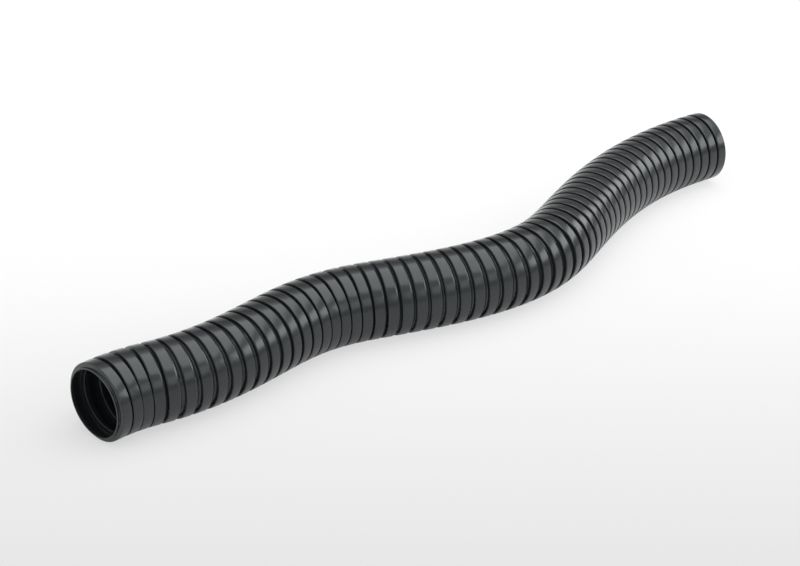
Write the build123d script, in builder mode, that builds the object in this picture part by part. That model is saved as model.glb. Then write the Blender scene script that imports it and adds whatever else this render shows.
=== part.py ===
from build123d import *

import os
from math import cos, radians, sin

# Flexible corrugated conduit: one moulded length of black plastic that lies on the floor in a gentle double
# bend. Flat bands ring the tube, with a narrow groove between each two. The wall is thin, so the inside is a
# row of wide pockets with a sharp ridge between them. The grooves open and close to let the tube bend, and the
# bands stay nearly straight. Each end is cut square through the foot of a groove, so it is a plain thin lip.

# Sizes in millimetres, angles in degrees.
outside_diameter = 54.5
wall = 1.0
band_count = 60
band_pitch = 10.44
groove_width = 3.14
groove_depth = 2.9
pocket_inset = 0.8
end_lip = 2.2
end_slope = 0.6

# How the length lies. Each pair is a groove, counted from the near end, and the turn there, to the left where
# it is positive. Between two pairs the turn changes evenly. The bands take up a small share of each turn.
start_heading = 1.7
bend_angles = [
    (1, -3.9),
    (2, -5.9),
    (3, -5.1),
    (4, -0.8),
    (5, 3.8),
    (7, 3.0),
    (10, 2.4),
    (14, -0.9),
    (17, -4.8),
    (20, -4.4),
    (23, 0.2),
    (28, 1.9),
    (33, 3.9),
    (36, 4.9),
    (41, -0.3),
    (46, -1.3),
    (52, -2.1),
    (59, -2.3),
]
band_share = 0.35

crest_radius = outside_diameter / 2
floor_radius = crest_radius - groove_depth
bore_radius = floor_radius - wall
pocket_radius = crest_radius - wall

# Distances along a band, from the middle of the groove before it.
crest_start = groove_width / 2
pocket_start = crest_start + pocket_inset
end_face = crest_start - end_lip
lip_foot = crest_start - end_slope
bore_foot = lip_foot + pocket_inset / 2


def turn_at(groove):
    """Degrees that the tube turns at a groove."""
    for (before, first), (after, second) in zip(bend_angles, bend_angles[1:]):
        if before <= groove <= after:
            return first + (second - first) * (groove - before) / (after - before)
    return 0


def lay_out():
    """Where each band starts, in the middle of the groove before it, and the way it points."""
    x, y, heading = 0, 0, start_heading
    places = []
    for groove in range(band_count):
        heading += turn_at(groove)
        places.append((x, y, heading))
        x += band_pitch * cos(radians(heading))
        y += band_pitch * sin(radians(heading))
    return places


bands = lay_out()


def plane_across(band, along, lean):
    """The plane across the tube at a distance along a band, turned by lean from square to that band."""
    x, y, heading = bands[band]
    return Plane(
        origin=(x + along * cos(radians(heading)), y + along * sin(radians(heading)), crest_radius),
        x_dir=(0, 0, 1),
        z_dir=(cos(radians(heading + lean)), sin(radians(heading + lean)), 0),
    )


def edge_of_band(band, along, radius):
    """A ring on a band. It leans by the band's share of the turns beside it, but the end bands are true."""
    share = along / band_pitch
    lean = band_share / 2 * (share * turn_at(band + 1) - (1 - share) * turn_at(band))
    return plane_across(band, along, 0 if band in (0, band_count - 1) else lean), radius


def middle_of_groove(groove, radius):
    """The ring at the middle of a groove, in the plane that halves its turn."""
    return plane_across(groove, 0, -turn_at(groove) / 2), radius


def wave(start, height, foot, end_height):
    """The rings of one surface of the wall, from end to end: two for each band and one for each groove."""
    last = band_count - 1
    rings = [edge_of_band(0, end_face, end_height), edge_of_band(0, foot, end_height)]
    for band in range(band_count):
        if band > 0:
            rings.append(middle_of_groove(band, end_height))
        rings.append(edge_of_band(band, start, height))
        rings.append(edge_of_band(band, band_pitch - start, height))
    rings.append(edge_of_band(last, band_pitch - foot, end_height))
    rings.append(edge_of_band(last, band_pitch - end_face, end_height))
    return rings


with BuildPart() as conduit:
    for plane, radius in wave(crest_start, crest_radius, lip_foot, floor_radius):
        with BuildSketch(plane):
            Circle(radius)
    loft(ruled=True)
    for plane, radius in wave(pocket_start, pocket_radius, bore_foot, bore_radius):
        with BuildSketch(plane):
            Circle(radius)
    loft(ruled=True, mode=Mode.SUBTRACT)

# The origin is on the floor, under the middle of the length and breadth.
middle = conduit.part.bounding_box().center()
conduit.part.position -= Vector(middle.X, middle.Y, 0)

conduit.part.label = "conduit"
os.makedirs("parts", exist_ok=True)
export_step(conduit.part, "parts/conduit.step")
print("first groove middle at", -middle, "length", round(band_count * band_pitch - 2 * end_face, 1), "mm")
print("volume", round(conduit.part.volume / 1000, 1), "cm3, face count", len(conduit.part.faces()))
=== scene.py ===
"""A length of black corrugated flexible conduit, lying in a gentle double bend on a pale floor.

The wall is one moulded piece. Flat bands ring it, and behind each stands a lower ledge, then a deep narrow
slot. The bands are stiff, so in a bend the ledges and slots close on one side of the tube and open on the
other.
"""

import logging
from dataclasses import dataclass, field
from enum import Enum
from math import cos, radians, sin

import bpy
import numpy as np
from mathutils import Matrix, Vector

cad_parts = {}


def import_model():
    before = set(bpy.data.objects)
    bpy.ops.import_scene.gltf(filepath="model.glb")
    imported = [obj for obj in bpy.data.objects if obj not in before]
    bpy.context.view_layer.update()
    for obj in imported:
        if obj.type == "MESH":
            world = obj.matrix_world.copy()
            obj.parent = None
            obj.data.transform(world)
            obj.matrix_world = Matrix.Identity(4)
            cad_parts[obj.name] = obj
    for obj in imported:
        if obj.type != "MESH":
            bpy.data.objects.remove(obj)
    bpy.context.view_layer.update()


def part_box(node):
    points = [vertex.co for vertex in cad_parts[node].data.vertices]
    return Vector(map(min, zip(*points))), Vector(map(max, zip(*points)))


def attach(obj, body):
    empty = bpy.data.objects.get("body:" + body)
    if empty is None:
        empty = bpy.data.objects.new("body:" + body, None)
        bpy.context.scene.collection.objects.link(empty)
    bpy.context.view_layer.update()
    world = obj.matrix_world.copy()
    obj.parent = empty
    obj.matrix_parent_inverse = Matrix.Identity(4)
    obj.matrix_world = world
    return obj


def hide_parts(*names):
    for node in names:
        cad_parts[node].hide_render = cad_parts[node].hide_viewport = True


log = logging.getLogger("conduit")

Colour = tuple[float, float, float]
Pairs = tuple[tuple[float, float], ...]

MM = 0.001
QUARTER_TURN = 90.0
FULL = 1.0


class Anchor(Enum):
    """Which band a ring of the wall is measured from."""

    BAND_START = "the near edge of a flat band"
    BAND_END = "the far edge of a flat band"
    SLOT = "half way between the walls of the slot before a band"


@dataclass(frozen=True)
class RingPoint:
    """One point of the wall's section, turned round the tube as a ring.

    Attributes:
        anchor: where the distance along the tube is measured from.
        along: millimetres from the anchor, positive away from the near end.
        radius: millimetres from the centre line.
        ledges: how many times the ledge's local width is added to along.
        squeeze: whether along shrinks where the groove is nearly closed.
    """

    anchor: Anchor
    along: float
    radius: float
    ledges: float = 0.0
    squeeze: bool = False


@dataclass
class Section:
    """Sizes of the wall's wave in millimetres, and the rings that draw it.

    Attributes:
        crest_radius: outer radius of the flat bands.
        wall: thickness of the wall.
        band_pitch: from the middle of one groove to the middle of the next.
        groove_width: from one band to the next, where the tube is straight.
        groove_depth: from the bands down to the bottom of the slots.
        band_near_edge: rounding of a band's near edge, as pairs of a distance past it and a drop.
        band_far_edge: rounding of a band's far edge, as pairs of a distance back from it and a drop.
        side_drop: from the bands down to the points where their sides start to round over.
        side_step: how far such a point stands before a band's near edge, in a groove.
        ledge_width: width of the ledge behind a band, where the groove is wide.
        ledge_share: the most of the groove's local width that the ledge takes.
        ledge_drop: from the bands down to the ledge.
        ledge_root: where the ledge leaves its band, as pairs of a distance past the band and a drop below
            the ledge.
        ledge_fall: how far the ledge slopes down on its way to the slot.
        ledge_edge: rounding of the ledge's edge, as the distance back from the slot and the drop.
        slot_corner: height at which the slot's walls round into its bottom.
        slot_near_lean: how far the slot's near wall leans in, down to that height.
        slot_far_lean: how far its far wall leans in.
        ridge_shoulder: near shoulder of a ridge inside, as a distance back from the band's far edge, a drop
            below the pocket, and how many times the ledge's width is added.
        ridge_near_side: near side of that ridge, as pairs of a distance back from the ledge's edge and a
            rise above the bore.
        ridge_far_side: its far side, as the distance past the next band's near edge and the same rise.
        pocket_start: where the next pocket starts, as pairs of a distance past that edge and a drop below
            the pocket.
        end_lip: from the end bands to the ends of the tube.
        end_slope: the part of that which slopes down from the band.
        lip_side_step: how far such a point stands past an end band's outer edge, on the lip.
        lip_face: the lip's face with the fine line round it, as pairs of a distance past the slope and a
            rise above the bottom of the slots.
        lip_rim: rounding of the lip's outer rim, as pairs of a distance back from the end and a drop.
        mouth_ridge: the end ridge inside, as pairs of a distance back from the end band's edge and a rise.
        mouth_rim: rounding of the lip's inner rim, as pairs of a distance back from the end and a rise.
    """

    crest_radius: float = 27.25
    wall: float = 1.0
    band_pitch: float = 10.44
    groove_width: float = 3.14
    groove_depth: float = 2.9
    band_near_edge: Pairs = ((0.0, 0.50), (0.10, 0.26), (0.36, 0.09), (0.85, 0.012), (1.25, 0.0))
    band_far_edge: Pairs = ((0.14, 0.0), (0.07, 0.008), (0.02, 0.05), (0.0, 0.25))
    side_drop: float = 0.9
    side_step: float = 0.04
    ledge_width: float = 1.9
    ledge_share: float = 0.6
    ledge_drop: float = 0.8
    ledge_root: Pairs = ((0.05, -0.02), (0.20, 0.03))
    ledge_fall: float = 0.55
    ledge_edge: tuple[float, float] = (0.18, 0.16)
    slot_corner: float = 0.35
    slot_near_lean: float = 0.08
    slot_far_lean: float = 0.16
    ridge_shoulder: tuple[tuple[float, float, float], ...] = (
        (1.55, 0.0, 0.65), (1.15, 0.55, 0.65), (1.0, 0.75, 1.0),
    )
    ridge_near_side: Pairs = ((0.86, 0.42), (0.62, 0.14))
    ridge_far_side: tuple[float, float] = (0.62, 0.3)
    pocket_start: Pairs = ((0.95, 0.4), (1.35, 0.0))
    end_lip: float = 2.2
    end_slope: float = 0.6
    lip_side_step: float = 0.08
    lip_face: Pairs = (
        (-0.15, 0.1), (0.1, 0.0), (0.45, 0.0), (0.52, -0.38), (0.82, -0.38), (0.92, -0.06), (1.1, 0.0),
    )
    lip_rim: Pairs = ((0.2, 0.04), (0.05, 0.12), (0.0, 0.26))
    mouth_ridge: Pairs = ((0.5, 0.35), (0.1, 0.03))
    mouth_rim: Pairs = ((0.12, 0.0), (0.02, 0.05), (0.0, 0.14))

    @property
    def floor_radius(self) -> float:
        """Radius of the bottom of the slots."""
        return self.crest_radius - self.groove_depth

    @property
    def bore_radius(self) -> float:
        """Radius of the ridges inside."""
        return self.floor_radius - self.wall

    @property
    def pocket_radius(self) -> float:
        """Radius of the pockets inside the flat bands."""
        return self.crest_radius - self.wall

    @property
    def band_start(self) -> float:
        """Distance from the middle of a groove to the band after it."""
        return self.groove_width / 2

    @property
    def band_end(self) -> float:
        """Distance from the middle of the groove before a band to the band's far edge."""
        return self.band_pitch - self.groove_width / 2

    def outer_band(self) -> list[RingPoint]:
        """The flat band, with its far edge crisp and its near edge rounder.

        Returns:
            The ring points, from the near edge to the far edge.
        """
        top = self.crest_radius
        near = [RingPoint(Anchor.BAND_START, past, top - drop) for past, drop in self.band_near_edge]
        far = [RingPoint(Anchor.BAND_END, -back, top - drop) for back, drop in self.band_far_edge]
        return near + far

    def outer_groove(self) -> list[RingPoint]:
        """The ledge, and the slot from its near wall down to the bottom and up to the next band.

        Returns:
            The ring points, from the far edge of one band to the near edge of the next.
        """
        ledge = self.crest_radius - self.ledge_drop
        edge_top = ledge - self.ledge_fall
        edge_back, edge_drop = self.ledge_edge
        corner = self.floor_radius + self.slot_corner
        side = self.crest_radius - self.side_drop
        start, end = Anchor.BAND_START, Anchor.BAND_END
        root = [RingPoint(end, past, ledge - drop, squeeze=True) for past, drop in self.ledge_root]
        return root + [
            RingPoint(end, -edge_back, edge_top, ledges=FULL, squeeze=True),
            RingPoint(end, 0.0, edge_top - edge_drop, ledges=FULL),
            RingPoint(end, self.slot_near_lean, corner, ledges=FULL, squeeze=True),
            RingPoint(Anchor.SLOT, 0.0, self.floor_radius),
            RingPoint(start, -self.slot_far_lean, corner, squeeze=True),
            RingPoint(start, -self.side_step, side, squeeze=True),
        ]

    def inner_groove(self) -> list[RingPoint]:
        """The ridge that the groove makes inside.

        Returns:
            The ring points, from one pocket to the next.
        """
        bore, pocket = self.bore_radius, self.pocket_radius
        start, end = Anchor.BAND_START, Anchor.BAND_END
        shoulder = [
            RingPoint(end, -back, pocket - drop, ledges) for back, drop, ledges in self.ridge_shoulder
        ]
        near_side = [RingPoint(end, -back, bore + rise, FULL) for back, rise in self.ridge_near_side]
        top = RingPoint(Anchor.SLOT, 0.0, bore)
        far_past, far_rise = self.ridge_far_side
        far_side = RingPoint(start, far_past, bore + far_rise)
        opening = [RingPoint(start, past, pocket - drop) for past, drop in self.pocket_start]
        return [*shoulder, *near_side, top, far_side, *opening]

    def outer_lip(self) -> list[tuple[float, float]]:
        """The outside of the plain lip at each end, with a fine line round it.

        Returns:
            Pairs of the distance from the end band's edge outwards and the radius, from the band to the end.
        """
        foot = self.floor_radius
        side = (self.lip_side_step, self.crest_radius - self.side_drop)
        face = [(self.end_slope + past, foot + rise) for past, rise in self.lip_face]
        rim = [(self.end_lip - back, foot - drop) for back, drop in self.lip_rim]
        return [side, *face, *rim]

    def inner_lip(self) -> list[tuple[float, float]]:
        """The inside of the plain lip at each end.

        Returns:
            Pairs of the distance from the end band's edge outwards and the radius, from the band to the end.
        """
        bore = self.bore_radius
        pocket = [(-back, self.pocket_radius - drop) for back, drop in reversed(self.pocket_start)]
        ridge = [(-back, bore + rise) for back, rise in self.mouth_ridge]
        rim = [(self.end_lip - back, bore + rise) for back, rise in self.mouth_rim]
        return [*pocket, *ridge, (self.end_slope, bore), *rim]


@dataclass
class Route:
    """How the length lies: a chain of straight bands that turns at the grooves between them.

    Attributes:
        section: the sizes of the wave.
        band_count: number of flat bands.
        start_heading: degrees from +X at the near end.
        bends: pairs of a groove and the turn there in degrees, with an even change between two pairs.
        places: where each band starts, in the middle of the groove before it, in millimetres.
        headings: the way each band points, in radians from +X.
    """

    section: Section
    band_count: int = 60
    start_heading: float = 1.7
    bends: Pairs = (
        (1, -3.9), (2, -5.9), (3, -5.1), (4, -0.8), (5, 3.8), (7, 3.0), (10, 2.4), (14, -0.9), (17, -4.8),
        (20, -4.4), (23, 0.2), (28, 1.9), (33, 3.9), (36, 4.9), (41, -0.3), (46, -1.3), (52, -2.1),
        (59, -2.3),
    )
    places: np.ndarray = field(init=False)
    headings: np.ndarray = field(init=False)

    def __post_init__(self) -> None:
        """Lays the bands out one after the other."""
        grooves, turns = zip(*self.bends)
        inner = np.arange(1, self.band_count)
        turned = np.concatenate([[0.0], np.cumsum(np.interp(inner, grooves, turns))])
        self.headings = np.radians(self.start_heading + turned)
        steps = self.section.band_pitch * np.stack([np.cos(self.headings), np.sin(self.headings)], axis=1)
        starts = np.concatenate([[[0.0, 0.0]], np.cumsum(steps, axis=0)[:-1]])
        height = np.full((self.band_count, 1), self.section.crest_radius)
        self.places = np.hstack([starts, height])

    def move(self, east: float, north: float) -> None:
        """Moves the whole length over the floor, by millimetres along +X and along +Y."""
        self.places = self.places + np.array([east, north, 0.0])

    def ahead(self, band: int) -> np.ndarray:
        """The unit direction in which a band points."""
        return np.array([cos(self.headings[band]), sin(self.headings[band]), 0.0])

    def ring(self, band: int, along: np.ndarray | float, radius: float, angles: np.ndarray) -> np.ndarray:
        """Points round a band, square to it.

        Args:
            band: the band's number, from 0 at the near end.
            along: millimetres from the middle of the groove before the band, for each angle or for all.
            radius: millimetres from the centre line.
            angles: the angles round the tube in radians, from its left side over its top.

        Returns:
            An array of points, one row for each angle.
        """
        ahead = self.ahead(band)
        left = np.array([-ahead[1], ahead[0], 0.0])
        up = np.array([0.0, 0.0, 1.0])
        along = np.broadcast_to(along, angles.shape)
        out = radius * (np.cos(angles)[:, None] * left + np.sin(angles)[:, None] * up)
        return self.places[band] + along[:, None] * ahead + out


@dataclass
class ConduitWall:
    """The moulded wall, outside and inside, as one closed mesh.

    Attributes:
        section: the sizes of the wave.
        route: how the length lies.
        segments: facets round the tube.
        slack_gap: millimetres between two bands, under which the roundings in the groove shrink.
        sharp_angle: degrees between two facets, over which the edge between them is crisp.
    """

    section: Section
    route: Route
    segments: int = 60
    slack_gap: float = 1.0
    sharp_angle: float = 32.0

    @property
    def angles(self) -> np.ndarray:
        """The angles of the facets round the tube in radians, from its left side over its top."""
        return np.linspace(0.0, 2 * np.pi, self.segments, endpoint=False)

    def gap(self, groove: int) -> np.ndarray:
        """Millimetres between the two bands beside a groove, at each angle round the tube."""
        turn = self.route.headings[groove] - self.route.headings[groove - 1]
        return self.section.groove_width - self.section.crest_radius * turn * np.cos(self.angles)

    def groove_ring(self, groove: int, point: RingPoint) -> np.ndarray:
        """One ring of a groove, which follows the bands on both sides of it.

        Args:
            groove: the groove's number, which is also the number of the band after it.
            point: the point of the section.

        Returns:
            An array of points, one row for each angle.
        """
        gap = self.gap(groove)
        band_start, band_end = self.section.band_start, self.section.band_end
        ledge = np.minimum(self.section.ledge_width, self.section.ledge_share * gap)
        if point.anchor is Anchor.SLOT:
            near = self.route.ring(groove - 1, band_end + ledge, point.radius, self.angles)
            far = self.route.ring(groove, band_start, point.radius, self.angles)
            return (near + far) / 2
        along = point.along * (np.minimum(FULL, gap / self.slack_gap) if point.squeeze else FULL)
        along = along + point.ledges * ledge
        if point.anchor is Anchor.BAND_END:
            return self.route.ring(groove - 1, band_end + along, point.radius, self.angles)
        return self.route.ring(groove, band_start + along, point.radius, self.angles)

    def band_ring(self, band: int, point: RingPoint) -> np.ndarray:
        """One ring of a flat band.

        Args:
            band: the band's number, from 0 at the near end.
            point: the point of the section.

        Returns:
            An array of points, one row for each angle.
        """
        from_start = point.anchor is Anchor.BAND_START
        base = self.section.band_start if from_start else self.section.band_end
        return self.route.ring(band, base + point.along, point.radius, self.angles)

    def near_end(self, lip: list[tuple[float, float]]) -> list[np.ndarray]:
        """The rings of one surface of the lip at the near end, from the end of the tube to the first band."""
        edge = self.section.band_start
        return [self.route.ring(0, edge - out, radius, self.angles) for out, radius in reversed(lip)]

    def far_end(self, lip: list[tuple[float, float]]) -> list[np.ndarray]:
        """The rings of one surface of the lip at the far end, from the last band to the end of the tube."""
        last, edge = self.route.band_count - 1, self.section.band_end
        return [self.route.ring(last, edge + out, radius, self.angles) for out, radius in lip]

    def rings(self) -> list[np.ndarray]:
        """All rings of the wall.

        Returns:
            The rings, out along the outside from the near end, and back along the inside.
        """
        outer_lip, inner_lip = self.section.outer_lip(), self.section.inner_lip()
        outside, inside = self.near_end(outer_lip), self.near_end(inner_lip)
        for band in range(self.route.band_count):
            if band > 0:
                outside += [self.groove_ring(band, point) for point in self.section.outer_groove()]
                inside += [self.groove_ring(band, point) for point in self.section.inner_groove()]
            outside += [self.band_ring(band, point) for point in self.section.outer_band()]
        outside += self.far_end(outer_lip)
        inside += self.far_end(inner_lip)
        return outside + inside[::-1]

    def centre_on(self, target: Vector) -> None:
        """Moves the length over the floor, so that the middle of its box stands over a point.

        Args:
            target: the point, in millimetres.
        """
        points = np.concatenate(self.rings())
        drawn_middle = (points.min(axis=0) + points.max(axis=0)) / 2
        self.route.move(target.x - drawn_middle[0], target.y - drawn_middle[1])

    def build(self, material: bpy.types.Material) -> bpy.types.Object:
        """Makes the mesh and its object.

        Args:
            material: the finish of the wall.

        Returns:
            The new object, linked to the scene.
        """
        rings = self.rings()
        points = np.concatenate(rings) * MM
        count, around = len(rings), self.segments
        ring = np.repeat(np.arange(count), around)
        step = np.tile(np.arange(around), count)
        following, beside = (ring + 1) % count, (step + 1) % around
        near_pair = [ring * around + step, ring * around + beside]
        far_pair = [following * around + beside, following * around + step]
        faces = np.stack(near_pair + far_pair, axis=1)
        mesh = bpy.data.meshes.new("conduit_wall")
        mesh.from_pydata(points.tolist(), [], faces.tolist())
        mesh.validate()
        mesh.shade_smooth()
        mesh.set_sharp_from_angle(angle=radians(self.sharp_angle))
        wall = bpy.data.objects.new("conduit_wall", mesh)
        bpy.context.scene.collection.objects.link(wall)
        mesh.materials.append(material)
        return wall


def opaque(colour: Colour) -> tuple[float, float, float, float]:
    """A colour with full cover."""
    return (*colour, FULL)


class Nodes:
    """A short way to add nodes to a material or the world and join them.

    Attributes:
        new_stop: where a ramp's new stop stands until it gets its own place.
        tree: the owner's node tree.
    """

    new_stop: float = 0.5

    def __init__(self, owner: bpy.types.Material | bpy.types.World) -> None:
        """Empties the owner's node tree.

        Args:
            owner: the material or world to fill.
        """
        owner.use_nodes = True
        self.tree = owner.node_tree
        self.tree.nodes.clear()

    def fill(self, socket: bpy.types.NodeSocket, value: object) -> None:
        """Joins a socket to the one that feeds it, or sets its value.

        Args:
            socket: the socket to fill.
            value: the feeding socket, or the value.
        """
        if isinstance(value, bpy.types.NodeSocket):
            self.tree.links.new(value, socket)
        else:
            socket.default_value = value

    def add(self, kind: str, *values: object, **named: object) -> bpy.types.Node:
        """Adds a node.

        Args:
            kind: the node's type name.
            *values: the values or feeding sockets of its first sockets, in their order.
            **named: names of sockets or properties, each with its value or feeding socket.

        Returns:
            The new node.
        """
        node = self.tree.nodes.new(kind)
        for name, value in named.items():
            socket = node.inputs.get(name.replace("_", " "))
            if socket is None:
                setattr(node, name, value)
            else:
                self.fill(socket, value)
        for socket, value in zip(node.inputs, values):
            self.fill(socket, value)
        return node

    def mix(self, share: bpy.types.NodeSocket, first: object, second: object) -> bpy.types.NodeSocket:
        """The socket of a mix of two colours, where share says how much of the second one shows."""
        mixed = self.add("ShaderNodeMix", data_type="RGBA", Factor=share, A=first, B=second)
        return mixed.outputs["Result"]

    def ramp(self, value: bpy.types.NodeSocket, stops: Pairs) -> bpy.types.NodeSocket:
        """Adds a run of greys along a value.

        Args:
            value: the socket that picks the grey.
            stops: pairs of a value and the grey there, in rising order.

        Returns:
            The socket that gives the grey.
        """
        first, last = stops[0][0], stops[-1][0]
        share = self.add("ShaderNodeMapRange", Value=value, From_Min=first, From_Max=last)
        ramp = self.add("ShaderNodeValToRGB", Fac=share.outputs["Result"])
        elements = ramp.color_ramp.elements
        while len(elements) < len(stops):
            elements.new(self.new_stop)
        for element, (place, grey) in zip(elements, stops):
            element.position = (place - first) / (last - first)
            element.color = opaque((grey, grey, grey))
        return ramp.outputs["Color"]


@dataclass(frozen=True)
class MouldedPlastic:
    """Satin black plastic, as it comes from the mould, with a fine grain and faint dull patches.

    Attributes:
        name: the material's name.
        colour: the plastic's own colour.
        worn_colour: its colour in the palest patches.
        sheen_tint: the colour of its reflections.
        roughness: how dull it is on average.
        roughness_spread: how much duller the dullest patches are than the glossiest.
        specular_level: how strong its reflections are.
        patch_size: metres across a patch.
        patch_detail: how many finer layers a patch has.
        patch_breakup: how strong those layers are.
        patch_range: the values of the patches between which the roughness goes from end to end.
        grain_size: metres across a grain.
        grain_detail: how many finer layers a grain has.
        grain_breakup: how strong those layers are.
        grain_height: metres that the grain stands proud.
    """

    name: str = "black_plastic"
    colour: Colour = (0.0140, 0.0158, 0.0176)
    worn_colour: Colour = (0.0195, 0.0217, 0.0240)
    sheen_tint: Colour = (0.93, 0.985, 1.0)
    roughness: float = 0.21
    roughness_spread: float = 0.08
    specular_level: float = 0.56
    patch_size: float = 0.03
    patch_detail: float = 5.0
    patch_breakup: float = 0.6
    patch_range: tuple[float, float] = (0.3, 0.7)
    grain_size: float = 0.0006
    grain_detail: float = 3.0
    grain_breakup: float = 0.55
    grain_height: float = 0.000010

    def make(self) -> bpy.types.Material:
        """Builds the material.

        Returns:
            The finished material.
        """
        material = bpy.data.materials.new(self.name)
        nodes = Nodes(material)
        place = nodes.add("ShaderNodeTexCoord").outputs["Object"]
        patches = nodes.add(
            "ShaderNodeTexNoise",
            Vector=place,
            Scale=1 / self.patch_size,
            Detail=self.patch_detail,
            Roughness=self.patch_breakup,
        )
        grain = nodes.add(
            "ShaderNodeTexNoise",
            Vector=place,
            Scale=1 / self.grain_size,
            Detail=self.grain_detail,
            Roughness=self.grain_breakup,
        )
        dull = nodes.add(
            "ShaderNodeMapRange",
            Value=patches.outputs["Fac"],
            From_Min=self.patch_range[0],
            From_Max=self.patch_range[1],
            To_Min=self.roughness - self.roughness_spread / 2,
            To_Max=self.roughness + self.roughness_spread / 2,
        )
        bump = nodes.add(
            "ShaderNodeBump", Height=grain.outputs["Fac"], Strength=FULL, Distance=self.grain_height
        )
        shader = nodes.add(
            "ShaderNodeBsdfPrincipled",
            Base_Color=nodes.mix(patches.outputs["Fac"], opaque(self.colour), opaque(self.worn_colour)),
            Roughness=dull.outputs["Result"],
            Normal=bump.outputs["Normal"],
            Specular_IOR_Level=self.specular_level,
            Specular_Tint=opaque(self.sheen_tint),
        )
        nodes.add("ShaderNodeOutputMaterial", Surface=shader.outputs["BSDF"])
        return material


@dataclass(frozen=True)
class FloorPaint:
    """Pale studio floor, grey near the camera and white far from it.

    Attributes:
        name: the material's name.
        shades: pairs of a distance from the camera in metres and the floor's shade there.
        shadow_lift: share of its own shade that the floor always shows, so that shadows on it stay soft.
        mirror_lift: the same where the floor is mirrored in the object.
        roughness: how dull it is.
    """

    name: str = "studio_floor"
    shades: Pairs = ((1.024, 0.783), (1.211, 0.863), (1.383, 0.939), (1.590, 0.985))
    shadow_lift: float = 0.68
    mirror_lift: float = 0.26
    roughness: float = 0.9

    def make(self, viewpoint: Vector, depth: Vector) -> bpy.types.Material:
        """Builds the material.

        Args:
            viewpoint: where the camera stands.
            depth: the level direction from the camera into the picture.

        Returns:
            The finished material.
        """
        material = bpy.data.materials.new(self.name)
        nodes = Nodes(material)
        place = nodes.add("ShaderNodeTexCoord").outputs["Object"]
        along = nodes.add("ShaderNodeVectorMath", place, depth, operation="DOT_PRODUCT").outputs["Value"]
        start = viewpoint.dot(depth)
        shade = nodes.ramp(along, tuple((start + away, grey) for away, grey in self.shades))
        paint = nodes.add("ShaderNodeBsdfDiffuse", Color=shade, Roughness=self.roughness).outputs["BSDF"]
        glow = nodes.add("ShaderNodeEmission", Color=shade, Strength=FULL).outputs["Emission"]
        ray = nodes.add("ShaderNodeLightPath").outputs
        either = nodes.add(
            "ShaderNodeMath", ray["Is Glossy Ray"], ray["Is Transmission Ray"], operation="MAXIMUM"
        ).outputs["Value"]
        mirrored = nodes.add(
            "ShaderNodeMath", either, self.mirror_lift, operation="MULTIPLY"
        ).outputs["Value"]
        seen = nodes.add(
            "ShaderNodeMath", ray["Is Camera Ray"], self.shadow_lift, mirrored, operation="MULTIPLY_ADD"
        ).outputs["Value"]
        mixed = nodes.add("ShaderNodeMixShader", seen, paint, glow)
        nodes.add("ShaderNodeOutputMaterial", Surface=mixed.outputs["Shader"])
        return material


@dataclass(frozen=True)
class Softbox:
    """One soft studio lamp that faces the middle of the object.

    Attributes:
        name: the lamp's name.
        azimuth: degrees from the right of the picture towards its depth.
        elevation: degrees above the floor.
        distance: metres from the middle of the object.
        width: metres across.
        height: metres up.
        glow: how bright its face is, where 1 is white.
    """

    name: str
    azimuth: float
    elevation: float
    distance: float
    width: float
    height: float
    glow: float

    def place(self, picture_heading: float) -> bpy.types.Object:
        """Adds the lamp, with the power that makes its face as bright as its glow.

        Args:
            picture_heading: degrees from +X to the right of the picture.

        Returns:
            The lamp.
        """
        turn, lift = radians(self.azimuth + picture_heading), radians(self.elevation)
        out = Vector((cos(turn) * cos(lift), sin(turn) * cos(lift), sin(lift)))
        data = bpy.data.lights.new(self.name, "AREA")
        data.shape = "RECTANGLE"
        data.size, data.size_y = self.width, self.height
        data.energy = self.glow * np.pi * self.width * self.height
        lamp = bpy.data.objects.new(self.name, data)
        lamp.location = out * self.distance
        lamp.rotation_euler = out.to_track_quat("Z", "Y").to_euler()
        bpy.context.scene.collection.objects.link(lamp)
        return lamp


@dataclass
class PictureCamera:
    """The camera at the picture's viewing angle.

    Attributes:
        position: where it stands, in metres.
        heading: degrees from +X to the way it looks, seen from above.
        pitch: degrees that it looks down.
        lens: focal length in millimetres.
        sensor: width of the sensor in millimetres.
        clip: the nearest and the farthest that it sees, in metres.
    """

    position: tuple[float, float, float] = (-0.9663, -0.9488, 0.6981)
    heading: float = 46.33
    pitch: float = 26.771
    lens: float = 94.5
    sensor: float = 36.0
    clip: tuple[float, float] = (0.02, 50.0)

    @property
    def picture_heading(self) -> float:
        """Degrees from +X to the right of the picture."""
        return self.heading - QUARTER_TURN

    def depth(self) -> Vector:
        """The level direction from the camera into the picture."""
        turn = radians(self.heading)
        return Vector((cos(turn), sin(turn), 0.0))

    def build(self) -> bpy.types.Object:
        """Adds the camera and makes it the scene's own.

        Returns:
            The camera.
        """
        data = bpy.data.cameras.new("picture_camera")
        data.lens, data.sensor_width, data.sensor_fit = self.lens, self.sensor, "HORIZONTAL"
        data.clip_start, data.clip_end = self.clip
        camera = bpy.data.objects.new("picture_camera", data)
        camera.location = self.position
        camera.rotation_euler = (radians(QUARTER_TURN - self.pitch), 0.0, radians(self.picture_heading))
        bpy.context.scene.collection.objects.link(camera)
        bpy.context.scene.camera = camera
        return camera


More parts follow.
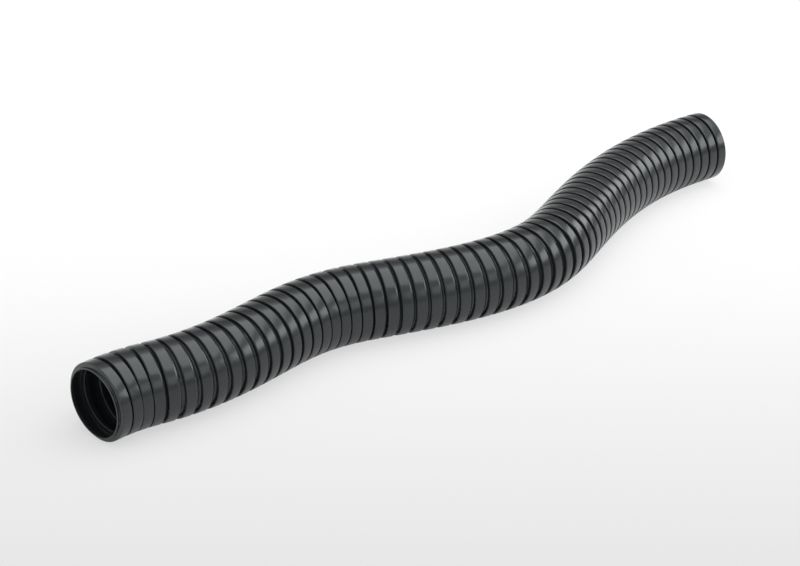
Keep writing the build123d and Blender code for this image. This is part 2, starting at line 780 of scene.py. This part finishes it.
@dataclass
class Studio:
    """The pale floor, the lamps and the light all round.

    Attributes:
        camera: the camera whose picture the lamps are set round.
        floor_size: metres across the floor.
        side_light: pairs of a height, as a share of straight up, and how bright the surroundings are there.
        back_light: the same behind the object.
        back_start: how far round towards the back that light starts, as the cosine from straight behind.
        back_full: where it is full.
        backdrop: the colour that shows above the edge of the floor.
        lamps: the lamps.
    """

    camera: PictureCamera
    floor_size: float = 12.0
    side_light: Pairs = ((0.0, 0.36), (0.55, 0.75))
    back_light: Pairs = ((0.0, 0.60), (0.28, 0.52), (0.40, 0.20), (0.60, 0.20), (0.72, 0.60))
    back_start: float = 0.55
    back_full: float = 0.85
    backdrop: Colour = (1.0, 1.0, 1.0)
    lamps: tuple[Softbox, ...] = (
        Softbox(
            "overhead_lamp", azimuth=24.0, elevation=72.0, distance=3.2, width=4.1, height=2.9, glow=1.75
        ),
        Softbox(
            "right_lamp", azimuth=16.0, elevation=24.0, distance=3.2, width=3.4, height=1.0, glow=3.1
        ),
        Softbox(
            "front_right_lamp", azimuth=-36.0, elevation=23.0, distance=3.2, width=1.4, height=1.0, glow=0.9
        ),
    )

    def build(self) -> None:
        """Adds the floor, the lamps and the surrounding light."""
        depth = self.camera.depth()
        mesh = bpy.data.meshes.new("floor")
        half = self.floor_size / 2
        corners = [(-half, -half, 0), (half, -half, 0), (half, half, 0), (-half, half, 0)]
        mesh.from_pydata(corners, [], [(0, 1, 2, 3)])
        mesh.materials.append(FloorPaint().make(Vector(self.camera.position), depth))
        floor = bpy.data.objects.new("floor", mesh)
        bpy.context.scene.collection.objects.link(floor)
        for lamp in self.lamps:
            lamp.place(self.camera.picture_heading)
        self.surround(depth)

    def surround(self, depth: Vector) -> None:
        """Adds the light all round, dimmer near the floor and behind the object.

        Args:
            depth: the level direction from the camera into the picture.
        """
        world = bpy.data.worlds.new("surround")
        bpy.context.scene.world = world
        nodes = Nodes(world)
        way = nodes.add("ShaderNodeTexCoord").outputs["Generated"]
        height = nodes.add("ShaderNodeSeparateXYZ", Vector=way).outputs["Z"]
        side = nodes.ramp(height, self.side_light)
        back = nodes.ramp(height, self.back_light)
        behind = nodes.add("ShaderNodeVectorMath", way, depth, operation="DOT_PRODUCT").outputs["Value"]
        share = nodes.add(
            "ShaderNodeMapRange", Value=behind, From_Min=self.back_start, From_Max=self.back_full
        ).outputs["Result"]
        light = nodes.mix(share, side, back)
        camera_ray = nodes.add("ShaderNodeLightPath").outputs["Is Camera Ray"]
        seen = nodes.mix(camera_ray, light, opaque(self.backdrop))
        shade = nodes.add("ShaderNodeBackground", Color=seen, Strength=FULL)
        nodes.add("ShaderNodeOutputWorld", Surface=shade.outputs["Background"])


def middle(box: tuple[Vector, Vector]) -> Vector:
    """The middle of a box given by its lowest and highest corners."""
    return (box[0] + box[1]) / 2


def main() -> None:
    """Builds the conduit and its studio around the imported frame."""
    logging.basicConfig(level=logging.INFO, format="%(message)s")
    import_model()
    bpy.context.scene.view_settings.view_transform = "Standard"

    section = Section()
    route = Route(section)
    wall = ConduitWall(section, route)
    wall.centre_on(middle(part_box("conduit")) / MM)
    piece = wall.build(MouldedPlastic().make())
    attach(piece, "root")
    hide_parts("conduit")
    faces = len(piece.data.polygons)
    log.info("%s: %d faces, first groove at %s", piece.name, faces, route.places[0].round(2))

    camera = PictureCamera()
    camera.build()
    log.info("camera: lens %.0f mm, pitch %.1f degrees", camera.lens, camera.pitch)
    studio = Studio(camera)
    studio.build()
    log.info("studio: %d lamps", len(studio.lamps))


if __name__ == "__main__":
    main()
